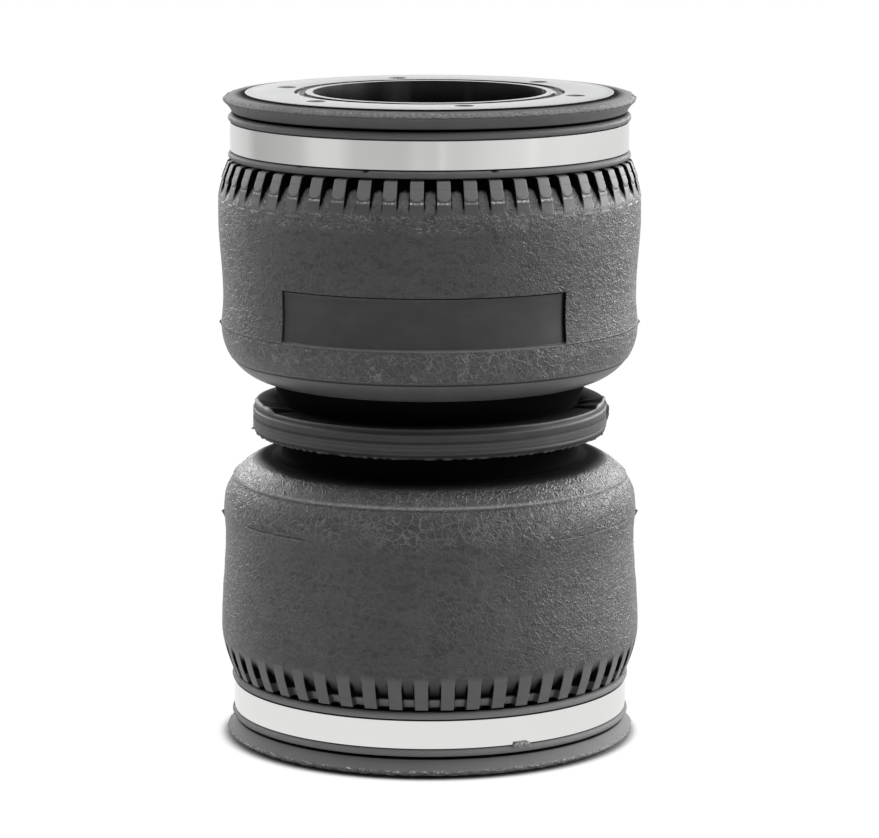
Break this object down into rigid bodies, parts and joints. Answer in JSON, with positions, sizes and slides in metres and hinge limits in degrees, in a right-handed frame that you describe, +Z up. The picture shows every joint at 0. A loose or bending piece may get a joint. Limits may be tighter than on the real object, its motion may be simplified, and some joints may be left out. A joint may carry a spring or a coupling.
{
  "type": "air bellows actuator",
  "caption": "Double-convolution rubber air bellows with a through bore, clamped on a machined end ring at each end and held in at the waist by a girdle hoop.",
  "frame": {"origin": "centre of the lower end face, on the axis of the bore, where the bellows stands", "axes": "+Z up along the bore's axis, the stroke's direction; the bare label recess of the upper convolution faces -Y"},
  "size_m": [0.13, 0.1298, 0.2002],
  "materials": {
    "cover_rubber": "satin moulded grain",
    "liner_rubber": "smooth",
    "cord_carcass": "rubberised cord",
    "seal": "smooth",
    "end_plate": "machined satin",
    "crimp_band": "polished",
    "hoop_steel": "plain"
  },
  "bodies": {
    "lower_end": {"lower_end_plate": "end_plate", "lower_crimp_band": "crimp_band", "lower_bead_collar": "cover_rubber", "lower_face_seal": "seal"},
    "lower_bellows": {"lower_convolution": "cover_rubber", "lower_cord_carcass": "cord_carcass", "lower_inner_liner": "liner_rubber"},
    "girdle": {"girdle_hoop": "hoop_steel", "girdle_cover": "cover_rubber"},
    "upper_bellows": {"upper_convolution": "cover_rubber", "upper_cord_carcass": "cord_carcass", "upper_inner_liner": "liner_rubber"},
    "upper_end": {"upper_end_plate": "end_plate", "upper_crimp_band": "crimp_band", "upper_bead_collar": "cover_rubber", "upper_face_seal": "seal"}
  },
  "joints": [
    {"name": "lower_stroke", "type": "slide", "parent": "lower_end", "child": "lower_bellows", "axis": [0, 0, 1], "range_m": [-0.038, 0.004], "stiffness_N_per_m": 4000, "deforming": ["lower_convolution", "lower_cord_carcass", "lower_inner_liner"]},
    {"name": "waist_tilt_x", "type": "hinge", "parent": "lower_bellows", "child": "girdle", "pos_m": [0, 0, 0.1001], "axis": [1, 0, 0], "range_deg": [-6, 6], "stiffness_Nm_per_rad": 30},
    {"name": "waist_tilt_y", "type": "hinge", "parent": "girdle", "child": "upper_bellows", "pos_m": [0, 0, 0.1001], "axis": [0, 1, 0], "range_deg": [-6, 6], "stiffness_Nm_per_rad": 30},
    {"name": "upper_stroke", "type": "slide", "parent": "upper_bellows", "child": "upper_end", "axis": [0, 0, 1], "range_m": [-0.038, 0.004], "stiffness_N_per_m": 4000, "deforming": ["upper_convolution", "upper_cord_carcass", "upper_inner_liner"]}
  ],
  "couplings": [
    {"joint": "upper_stroke", "follows": "lower_stroke", "ratio": 1}
  ]
}
